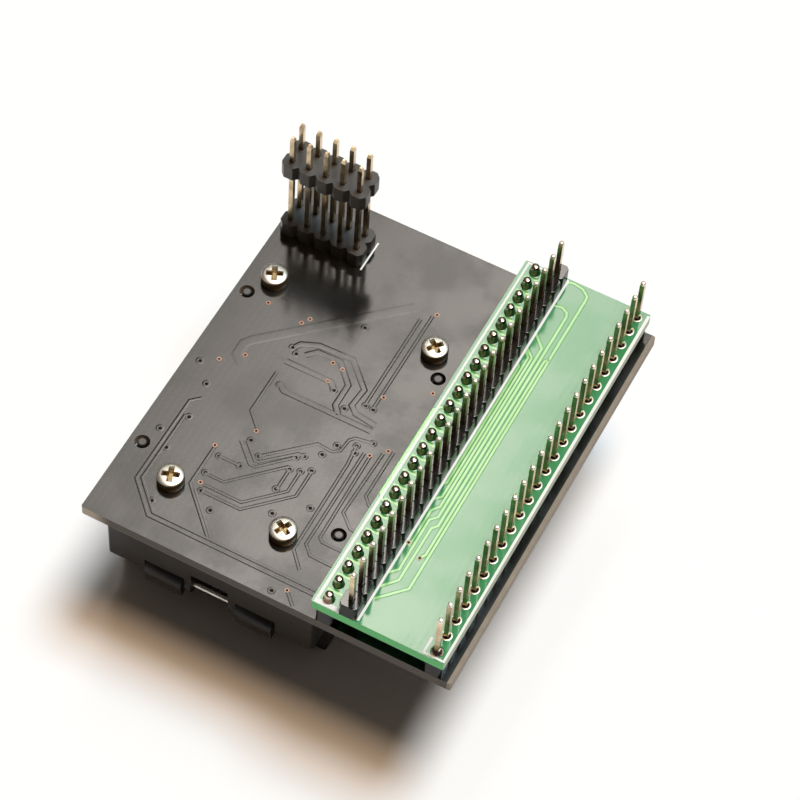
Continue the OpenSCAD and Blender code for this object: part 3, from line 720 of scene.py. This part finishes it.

# %% [markdown]
# The soldered row: each pin ends just above the green board in a cone of solder, which climbs the pin in
# a hollow curve to a bright round top. One cone is turned from its profile and repeated along the row.
# The cones are browner towards their feet.

# %% Solder cones
metal(
    "cone_solder", clean=(0.66, 0.58, 0.49), tarnished=(0.36, 0.29, 0.22), roughness=(0.18, 0.28),
    streak_scale=2600, streak_depth=0.01,
)
foot_brown = (0.235, 0.155, 0.11)
tint_below("cone_solder", plug_top + 0.7 * mm, plug_top + 1.25 * mm, foot_brown)
cone_rings = (
    (0.82, 0.0), (0.79, 0.08), (0.74, 0.26), (0.68, 0.5), (0.63, 0.78), (0.6, 1.02), (0.57, 1.2),
    (0.52, 1.31), (0.44, 1.38), (0.3, 1.43), (0.1, 1.45),
)
cones = turned(cone_rings, 20, joint_x, first_y, plug_top)
repeat_in_row(cones, row_count)
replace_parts(settle(cones, "solder_cones", "cone_solder"), "joint_row_solder")

# %% [markdown]
# The right row is soldered from below, so on this side each pin stands in a tinned ring around an open
# hole. Only the first pin has taken up solder and sits in a small cone. The rings' tin is thin and dull.

# %% Tinned rings and the first pin's cone
metal(
    "dull_tin", clean=(0.82, 0.74, 0.62), tarnished=(0.62, 0.53, 0.42), roughness=(0.38, 0.5),
    streak_scale=3000, streak_depth=0.01,
)
ring_rings = ((0.78, 0.0), (0.76, 0.05), (0.7, 0.07), (0.58, 0.07), (0.53, 0.04), (0.5, 0.01))
rings = turned(ring_rings, 24, right_x, first_y + row_pitch, plug_top)
repeat_in_row(rings, row_count - 1)
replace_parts(settle(rings, "tinned_rings", "dull_tin"), "right_row_solder")

first_cone_rings = ((0.9, 0.0), (0.86, 0.1), (0.7, 0.32), (0.52, 0.5), (0.4, 0.6))
first_cone = turned(first_cone_rings, 24, right_x, first_y, plug_top)
settle(first_cone, "first_pin_solder", "solder")

# %% [markdown]
# The holes inside the rings are shallow cups, a little wider than the pin, in a near-black finish: painted
# shade for the depth of the holes.

# %% Holes around the right pins
# Painted shade: this near-black finish stands in for the shade deep in holes, dimples and grooves.
plastic(
    "hole_shade_paint", dark=(0.006, 0.004, 0.003), pale=(0.02, 0.009, 0.006), roughness=(0.5, 0.7),
    grain_scale=4000, grain_depth=0.01, gloss=0.1,
)
hole_rings = ((0.52, 0.0), (0.52, 0.05), (0.46, 0.06), (0.42, 0.02))
holes = turned(hole_rings, 20, right_x, first_y + row_pitch, plug_top)
repeat_in_row(holes, row_count - 1)
settle(holes, "pin_hole_shade", "hole_shade_paint")

# %% [markdown]
# Four nickel screws hold the socket. A cheese head has a flat top with a rounded rim and a cross recess.
# The head and the threaded shank are turned in one go, and a Boolean cuts two tapered slots into the top,
# each screw at its own turn. A cutter is a box whose lower end is drawn in.

# %% One cross recess
recess_length = 3.7
recess_width = 1.05
recess_depth = 0.9
recess_taper = (0.35, 0.5, 1)


def slot_cutter(turn, x, y, top):
    deselect()
    bpy.ops.mesh.primitive_cube_add(size=1, location=(0, 0, 0))
    cutter = bpy.context.object
    cutter.scale = (recess_length * mm, recess_width * mm, 2 * recess_depth * mm)
    bpy.ops.object.transform_apply(location=True, rotation=True, scale=True)
    bpy.ops.object.mode_set(mode="EDIT")
    bpy.ops.mesh.select_all(action="DESELECT")
    shape = bmesh.from_edit_mesh(cutter.data)
    for corner in shape.verts:
        corner.select_set(corner.co.z < 0)
    shape.select_flush(True)
    bmesh.update_edit_mesh(cutter.data)
    bpy.ops.transform.resize(value=recess_taper, center_override=(0, 0, 0))
    bpy.ops.object.mode_set(mode="OBJECT")
    cutter.location = (x, y, top)
    cutter.rotation_euler = (0, 0, turn)
    return cutter


def cut(piece, cutter):
    carve = piece.modifiers.new("carve", "BOOLEAN")
    carve.object = cutter
    carve.operation = "DIFFERENCE"
    carve.solver = "EXACT"
    pick(piece)
    bpy.ops.object.modifier_apply(modifier=carve.name)
    bpy.data.objects.remove(cutter)


print("recess helpers ready")

# %% Profile of a screw
screw_low, screw_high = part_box("mounting_screws")
screw_head = (screw_high.z - main_top) / mm
screw_depth = (main_top - screw_low.z) / mm
shank_tip = 0.7
thread_root = 0.84
thread_crest = 0.98
thread_start = 0.3
thread_pitch = 0.4
thread_count = 11
crest_rise = 0.16
thread_rings = [(shank_tip, -screw_depth)]
for turn_number in range(thread_count):
    root_height = -screw_depth + thread_start + turn_number * thread_pitch
    thread_rings += [(thread_root, root_height), (thread_crest, root_height + crest_rise)]
head_rings = [
    (thread_crest, 0.0), (1.82, 0.02), (1.85, 0.12), (1.85, screw_head - 0.3), (1.82, screw_head - 0.2),
    (1.74, screw_head - 0.13), (1.3, screw_head - 0.05), (0.9, screw_head - 0.02),
    (0.5, screw_head - 0.005), (0.2, screw_head),
]
print("screw head mm:", round(screw_head, 2), "shank mm:", round(screw_depth, 2))

# %% [markdown]
# These heads are duller than the small screws inside the socket, so they get a nickel of their own. Below
# the top, the recess and the side of each head are tinted brown: painted shade, and a painted reflection
# of the dark board.

# %% Cross-recess screws
metal(
    "head_nickel", clean=(0.90, 0.84, 0.73), tarnished=(0.80, 0.73, 0.60), roughness=(0.36, 0.46),
    streak_scale=4000, streak_depth=0.002,
)
painted_shade_brown = (0.34, 0.24, 0.12)
# painted shade and a painted reflection: brown in the recesses and on the sides of the heads
tint_below("head_nickel", screw_high.z - 0.4 * mm, screw_high.z - 0.22 * mm, painted_shade_brown)
screw_spots = ((-31.3, 13.29, 25), (-6.8, 13.29, 52), (-27.35, -21.51, 20), (-10.75, -21.51, 62))
screws = []
for x, y, degrees in screw_spots:
    screw_x = joint_x + x * mm
    screw = turned(thread_rings + head_rings, 32, screw_x, y * mm, main_top)
    for quarter in (0, 90):
        cut(screw, slot_cutter(math.radians(degrees + quarter), screw_x, y * mm, screw_high.z))
    screws.append(screw)
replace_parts(settle(joined(*screws), "cross_screws", "head_nickel"), "mounting_screws")

# %% [markdown]
# Four posts of the socket show in the board's holes. Their ends were pressed against a polished mould face,
# so each gets a thin glossy cap. The places come from the socket's highest points.

# %% Polished post ends
post_radius = 0.625
post_points = [v.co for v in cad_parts["socket_base"].data.vertices if v.co.z > main_top - 0.01 * mm]
point_xs = [point.x / mm for point in post_points]
point_ys = [point.y / mm for point in post_points]
post_xs = [min(point_xs) + post_radius, max(point_xs) - post_radius]
post_ys = [min(point_ys) + post_radius, max(point_ys) - post_radius]
post_places = [(x - joint_x / mm, y) for x in post_xs for y in post_ys]
plastic(
    "polished_end", dark=(0.010, 0.009, 0.008), pale=(0.018, 0.016, 0.014), roughness=(0.14, 0.24),
    grain_scale=5200, grain_depth=0.002, gloss=0.8,
)
post_cap = turned(((0.47, -0.02), (0.47, 0.012), (0.25, 0.0125)), 24)
settle(copy_to(post_cap, post_places, main_top), "post_ends", "polished_end")

# %% [markdown]
# The black board carries traces under its lacquer, in three widths: narrow ones, wide ones for the supply,
# and one broad band. Most run straight or at 45 degrees, and some go on under the strip.

# %% Narrow routes of the black board
strip_edge = -0.5
near_routes = [
    [(-30.3, -8.3), (-31.5, -9.4), (-31.5, -23.3), (-27.3, -27.5), (strip_edge, -27.5)],
    [(-30.85, -11.6), (-30.85, -22.9), (-26.95, -26.8), (strip_edge, -26.8)],
    [(-25.0, -13.9), (-25.0, -20.6), (-18.9, -26.7)],
    [(-24.1, -21.0), (-18.5, -26.6)],
    [(-6.3, -28.5), (-4.6, -30.2)],
]
middle_routes = [
    [(-23.1, -20.9), (-17.4, -20.9), (-12.1, -15.6), (-12.1, -11.3)],
    [(-23.4, -19.9), (-17.8, -19.9), (-13.4, -15.5), (-13.4, -12.0)],
    [(-14.8, -15.9), (-14.8, -12.4)],
    [(-24.1, -18.3), (-21.3, -18.3), (-15.1, -12.1)],
    [(-23.8, -15.1), (-20.7, -15.1)],
    [(-22.5, -11.6), (-19.7, -14.3), (-18.9, -14.3), (-15.0, -10.4)],
    [(-21.8, -11.2), (-19.4, -13.5), (-18.9, -13.4), (-15.0, -9.7), (-14.1, -9.7)],
    [
        (-19.3, -12.6), (-13.5, -7.1), (-11.3, -7.3), (-10.4, -6.6), (-10.2, -4.6), (-9.6, -3.9),
        (-7.2, -3.5),
    ],
]
right_routes = [
    [(-8.9, -4.9), (-8.6, -8.0), (-8.5, -22.8), (-6.4, -25.1)],
    [(-7.5, -5.4), (-7.5, -21.3), (-6.2, -22.6), (strip_edge, -22.7)],
    [(-6.6, -5.4), (-6.4, -19.6), (-5.8, -20.1), (strip_edge, -20.1)],
    [(-5.3, -4.3), (-5.6, -14.8), (-3.6, -16.6), (strip_edge, -16.6)],
    [(-4.2, -3.4), (-4.2, -11.2), (-3.1, -12.3), (strip_edge, -12.3)],
]
far_routes = [
    [(-11.0, 1.3), (-11.0, 17.4)],
    [(-9.8, 1.3), (-9.8, 18.6)],
    [(-23.7, 0.2), (-23.7, -6.8), (-21.5, -9.0)],
]
board_routes = near_routes + middle_routes + right_routes + far_routes
print("narrow routes:", len(board_routes))

# %% Wide routes of the black board
wide_routes = [
    [(-22.6, -1.1), (-21.4, -2.0), (-8.3, -1.95)],
    [
        (-23.6, 4.9), (-23.1, 5.8), (-20.8, 6.8), (-15.8, 7.0), (-12.2, 3.4), (-12.5, 0.4), (-11.4, -0.5),
        (-8.3, -0.9),
    ],
    [(-21.7, 4.5), (-20.5, 5.8), (-17.1, 5.9), (-14.4, 3.0), (-14.4, -0.6), (-13.4, -1.8)],
    [(-23.5, 2.4), (-16.7, 2.4), (-15.8, 1.5)],
]
band_routes = [[(-28.5, -0.9), (-29.8, 0.2), (-29.8, 2.2), (-29.1, 3.2), (-12.5, 18.8)]]
print("wide routes:", len(wide_routes), "band routes:", len(band_routes))

# %% [markdown]
# The lacquer flows over each trace as a ridge that is at most two hundredths of a millimetre high, and
# shows because its slopes mirror another part of the room. So a low profile with a flat crown, two rounded
# shoulders and a sunken foot on each side is swept along each route. A flat ribbon would have no slopes.

# %% Ridges over the traces
shoulder_share = 0.85
foot_share = 0.5


def ridges(routes, foot, shoulder, crown, height, level):
    """Sweep a low ridge along routes of (x, y) points; all sizes but the level are in millimetres."""
    profile = empty_curve("2D")
    rim = profile.data.splines.new("POLY")
    rim.use_cyclic_u = True
    right_side = [
        (crown / 2, height), (shoulder / 2, shoulder_share * height), (foot / 2, -foot_share * height)
    ]
    left_side = [(-across_route, up) for across_route, up in reversed(right_side)]
    corners = left_side + right_side
    rim.points.add(len(corners) - 1)
    for point, (across_route, up) in zip(rim.points, corners):
        point.co = (across_route * mm, up * mm, 0, 1)
    ridge = empty_curve("3D")
    ridge.data.bevel_mode = "OBJECT"
    ridge.data.bevel_object = profile
    lay_routes(ridge, routes, level, 0)
    bpy.ops.object.convert(target="MESH")
    swept = bpy.context.object
    bpy.data.objects.remove(profile)
    smooth_outside(swept, 30)
    return swept


traces = joined(
    ridges(board_routes, foot=0.68, shoulder=0.3, crown=0.14, height=0.014, level=main_top),
    ridges(wide_routes, foot=1.15, shoulder=0.72, crown=0.46, height=0.02, level=main_top),
    ridges(band_routes, foot=1.7, shoulder=1.2, crown=0.9, height=0.005, level=main_top),
)
settle(traces, "board_traces", "black_board")

# %% [markdown]
# Vias join the two sides of the board. Most are covered by the lacquer and show as a small dimple with a
# rim; some are open, with a ring of bare copper around the hole. The dark centres of the dimples and the
# holes are painted shade.

# %% Places of the vias
covered_vias = (
    (-30.3, -11.7), (-32.7, -15.1), (-30.5, -17.3), (-28.0, -25.3), (-20.7, -22.9), (-13.5, -19.4),
    (-9.6, -16.3), (-23.8, -15.1), (-20.7, -15.1), (-24.1, -18.2), (-23.2, -20.9), (-19.3, -12.6),
    (-21.4, -10.9), (-15.0, -10.4), (-14.1, -9.7), (-12.2, -8.3), (-14.8, -12.4), (-13.4, -12.0),
    (-12.2, -11.2), (-14.9, -15.9), (-8.9, -4.9), (-7.2, -3.5), (-10.9, 1.3), (-9.7, 1.2), (-13.1, -0.5),
    (-15.7, 1.4), (-22.4, -1.4), (-8.0, -29.5), (-23.8, 4.8), (-22.9, 4.1), (-33.5, -3.2), (-30.9, -6.0),
    (-11.2, -6.1), (-8.6, -6.0), (-16.9, 12.4),
)
open_vias = (
    (-17.9, 5.2), (-16.3, 4.9), (-17.1, 2.3), (-9.4, 3.6), (-4.0, 7.4), (-4.9, -3.6), (-6.7, -5.4),
    (-30.2, 9.6), (-24.7, 8.9), (-24.0, 10.0), (-9.4, 19.1), (-28.7, 0.6), (-31.4, -1.7), (-25.1, -13.9),
    (-21.5, -9.3), (-6.3, -28.5), (-23.9, -19.8),
)
print("covered vias:", len(covered_vias), "open vias:", len(open_vias))

# %% Covered and open vias
plastic(
    "bare_copper", dark=(0.56, 0.28, 0.17), pale=(0.72, 0.45, 0.31), roughness=(0.4, 0.55),
    grain_scale=4000, grain_depth=0.005,
)
via_rim = turned(((0.58, -0.002), (0.4, 0.011), (0.3, 0.011), (0.2, 0.001)), 20)
settle(copy_to(via_rim, covered_vias, main_top), "via_rims", "black_board")
# painted shade: dark discs in the dimples and in the open holes
via_dimple = turned(((0.24, 0.0), (0.24, 0.008), (0.1, 0.005)), 16)
settle(copy_to(via_dimple, covered_vias, main_top), "via_dimple_shade", "hole_shade_paint")
open_ring = turned(((0.33, 0.0), (0.32, 0.02), (0.2, 0.024), (0.14, 0.012)), 16)
settle(copy_to(open_ring, open_vias, main_top), "open_vias", "bare_copper")
open_hole = turned(((0.18, 0.0), (0.18, 0.022), (0.08, 0.018)), 12)
settle(copy_to(open_hole, open_vias, main_top), "open_via_hole_shade", "hole_shade_paint")

# %% [markdown]
# The plug strip is made to be snapped between any two pins, so a fine groove crosses its top in each notch.
# A groove is too narrow to show its depth, so a dark ribbon lies in its place: painted shade of the groove.

# %% Painted shade in the snap grooves of the plug strip
snap_inset = 0.35
strip_low, strip_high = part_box("left_plug_strip")
snap_start = (strip_low.x - joint_x) / mm + snap_inset
snap_end = (strip_high.x - joint_x) / mm - snap_inset
snap_routes = [[(snap_start, y), (snap_end, y)] for y in pin_gaps]
snap_groove_shade = ribbons(snap_routes, width=0.14, thickness=0.02, level=strip_high.z)
settle(snap_groove_shade, "snap_groove_shade", "hole_shade_paint")

# %% [markdown]
# The plug pins have round tips. A small dome covers each tip, in a paler gold than the pins: painted
# highlight.

# %% Pin tips with a painted highlight
metal(
    "tip_gold_painted_highlight", clean=(0.96, 0.89, 0.77), tarnished=(0.88, 0.79, 0.65), roughness=(0.3, 0.42),
    streak_scale=6000, streak_depth=0.002,
)
tip_rings = ((0.33, -0.5), (0.355, -0.4), (0.36, -0.2), (0.335, -0.1), (0.27, -0.03), (0.16, 0.005))


def tip_row(node, row_x):
    low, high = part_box(node)
    tips = turned(tip_rings, 16, row_x, first_y, high.z)
    repeat_in_row(tips, row_count)
    return tips


pin_tips = joined(tip_row("left_plug_pins", left_x), tip_row("right_plug_pins", right_x))
# painted highlight: the tips' gold is paler than the pins' own
settle(pin_tips, "pin_tips", "tip_gold_painted_highlight")

# %% [markdown]
# The green board's copper shows as bright lines through the lacquer. A short stub lies in each gap between
# two soldered pins, and eight lanes run along the rows: most leave one pin at 45 degrees, run along the
# board and come back to another pin. A darker channel on both sides sets each lane off.

# %% Copper routes of the green board
stub_start = -0.9
stub_end = (left_x - joint_x) / mm - 1.0
stub_routes = [[(stub_start, y), (stub_end, y)] for y in pin_gaps]
lane_routes = [
    [(4.5, 14.75), (5.0, 14.25), (5.0, -6.6), (4.5, -7.2)],
    [(4.5, 17.2), (5.45, 16.1), (5.45, -8.8), (4.55, -9.8)],
    [(4.65, 17.4), (5.9, 16.3), (5.9, -10.3), (5.15, -11.3), (5.15, -17.4), (4.6, -17.0)],
    [(4.45, 20.3), (6.4, 18.3), (6.4, -11.8), (5.6, -12.7), (5.65, -21.1), (4.55, -22.3)],
    [
        (4.6, 25.45), (5.85, 25.7), (6.75, 25.2), (7.0, 24.5), (7.0, -13.0), (6.4, -13.7), (6.35, -22.5),
        (4.65, -24.5),
    ],
    [(8.0, 17.2), (7.6, 16.6), (7.6, -17.6), (7.2, -18.2)],
    [(-0.4, -13.2), (-1.0, -13.0), (-1.7, -12.2), (-1.7, 2.6), (-1.0, 3.4), (-0.4, 3.5)],
    [(4.25, 29.7), (5.4, 30.1), (6.95, 29.8), (7.95, 29.0), (8.05, 28.2), (8.05, -23.0), (4.85, -26.4)],
]
print("stubs:", len(stub_routes), "lanes:", len(lane_routes))

# %% Lanes and their channels
lane_width = 0.36
lane_gap = 0.1
lane_level = plug_top + 0.008 * mm
channel_width = lane_width + 2 * lane_gap
channel_level = plug_top + 0.002 * mm
plastic(
    "green_trace", dark=(0.30, 0.66, 0.22), pale=(0.40, 0.74, 0.29), roughness=(0.1, 0.18),
    grain_scale=5000, grain_depth=0.001, gloss=0.9,
)
plastic(
    "lane_channel", dark=(0.035, 0.26, 0.06), pale=(0.05, 0.31, 0.08), roughness=(0.2, 0.3),
    grain_scale=5000, grain_depth=0.001, gloss=0.6,
)
lane_channels = ribbons(lane_routes, channel_width, thickness=0.016, level=channel_level)
settle(lane_channels, "lane_channels", "lane_channel")
lanes = ribbons(stub_routes + lane_routes, lane_width, thickness=0.02, level=lane_level)
settle(lanes, "green_traces", "green_trace")

# %% Two open vias beside the lanes
lane_vias = ((4.85, -17.0), (7.15, -18.36))
plastic(
    "pale_copper", dark=(0.55, 0.48, 0.24), pale=(0.68, 0.58, 0.36), roughness=(0.4, 0.55),
    grain_scale=4000, grain_depth=0.005,
)
lane_ring = turned(((0.36, 0.0), (0.35, 0.03), (0.22, 0.035), (0.15, 0.02)), 16)
settle(copy_to(lane_ring, lane_vias, plug_top), "lane_via_rings", "pale_copper")
# Painted shade: the near-black holes stand in for the depth of the vias.
lane_hole = turned(((0.19, 0.0), (0.19, 0.03), (0.1, 0.026)), 12)
settle(copy_to(lane_hole, lane_vias, plug_top), "lane_via_hole_shade", "hole_shade_paint")

# %% [markdown]
# White ink outlines the two rows and the spare header. It is printed, so it lies almost flat on the
# lacquer. The lines have four widths. The outline on the left starts just beyond the broad line at the
# near end, because two faces at the same height would flicker.

# %% White ink lines
ink_thickness = 0.03
ink_lift = 0.01 * mm
ink_inset = 0.3
plastic(
    "white_ink", dark=(0.86, 0.87, 0.82), pale=(0.94, 0.95, 0.91), roughness=(0.4, 0.6),
    grain_scale=9000, grain_depth=0.005,
)
near_y = plug_low.y / mm + ink_inset
far_y = plug_high.y / mm - ink_inset
outline_routes = [
    [(-1.36, near_y + 0.46), (-1.36, far_y), (1.8, far_y)],
    [(13.8, near_y + 2.4), (13.8, near_y), (16.6, near_y), (16.6, far_y)],
]
strip_routes = [[(4.58, near_y), (4.58, far_y)]]
end_routes = [[(-1.57, near_y + 0.12), (1.8, near_y + 0.12)]]
ink_level = plug_top + ink_lift
plug_ink = joined(
    ribbons(outline_routes, width=0.42, thickness=ink_thickness, level=ink_level),
    ribbons(strip_routes, width=0.34, thickness=ink_thickness, level=ink_level),
    ribbons(end_routes, width=0.66, thickness=ink_thickness, level=ink_level),
)
settle(plug_ink, "plug_board_ink", "white_ink")

# %% Ink line beside the header
header_low, header_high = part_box("aux_lower_moulding")
header_line = (header_high.x - joint_x) / mm + 0.16
spare_routes = [[(header_line, header_low.y / mm - 0.1), (header_line, header_high.y / mm + 0.1)]]
spare_ink = ribbons(spare_routes, width=0.26, thickness=ink_thickness, level=main_top + ink_lift)
settle(spare_ink, "main_board_ink", "white_ink")

# %% [markdown]
# Inside the socket, four springs lift the pressure plate and four more push the chip nest. Each set is
# wound anew: a Screw modifier sweeps a round section up a helix.

# %% Wind a coil
spring_diameter = 2.4
wire_diameter = 0.4
spring_turns = 3.5
steps_per_turn = 20


def wind_coil(length):
    """Wind one spring of a length in millimetres, standing on the origin."""
    deselect()
    winding_place = ((spring_diameter - wire_diameter) / 2 * mm, 0, wire_diameter / 2 * mm)
    bpy.ops.mesh.primitive_circle_add(
        vertices=8, radius=wire_diameter / 2 * mm, location=winding_place, rotation=(math.pi / 2, 0, 0)
    )
    coil = bpy.context.object
    bpy.ops.object.transform_apply(location=True, rotation=True, scale=True)
    wound = coil.modifiers.new("wound", "SCREW")
    wound.angle = 2 * math.pi * spring_turns
    wound.screw_offset = (length - wire_diameter) * mm
    wound.steps = int(steps_per_turn * spring_turns)
    wound.render_steps = wound.steps
    bpy.ops.object.modifier_apply(modifier=wound.name)
    bpy.ops.object.mode_set(mode="EDIT")
    bpy.ops.mesh.select_all(action="SELECT")
    bpy.ops.mesh.fill_holes(sides=0)
    bpy.ops.object.mode_set(mode="OBJECT")
    smooth_outside(coil, 50)
    return coil


print("turns of a coil:", spring_turns)

# %% Springs of the two sprung plates


def spring_set(name, node, body):
    low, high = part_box(node)
    reach = spring_diameter / 2 * mm
    places = [
        ((x - joint_x) / mm, y / mm)
        for x in (low.x + reach, high.x - reach)
        for y in (low.y + reach, high.y - reach)
    ]
    length = high.z - low.z
    coils = settle(copy_to(wind_coil(length / mm), places, low.z), name, "steel", body)
    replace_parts(coils, node)
    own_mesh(coils)


spring_set("plate_coils", "plate_springs", "lid")
spring_set("nest_coils", "nest_springs", "base")
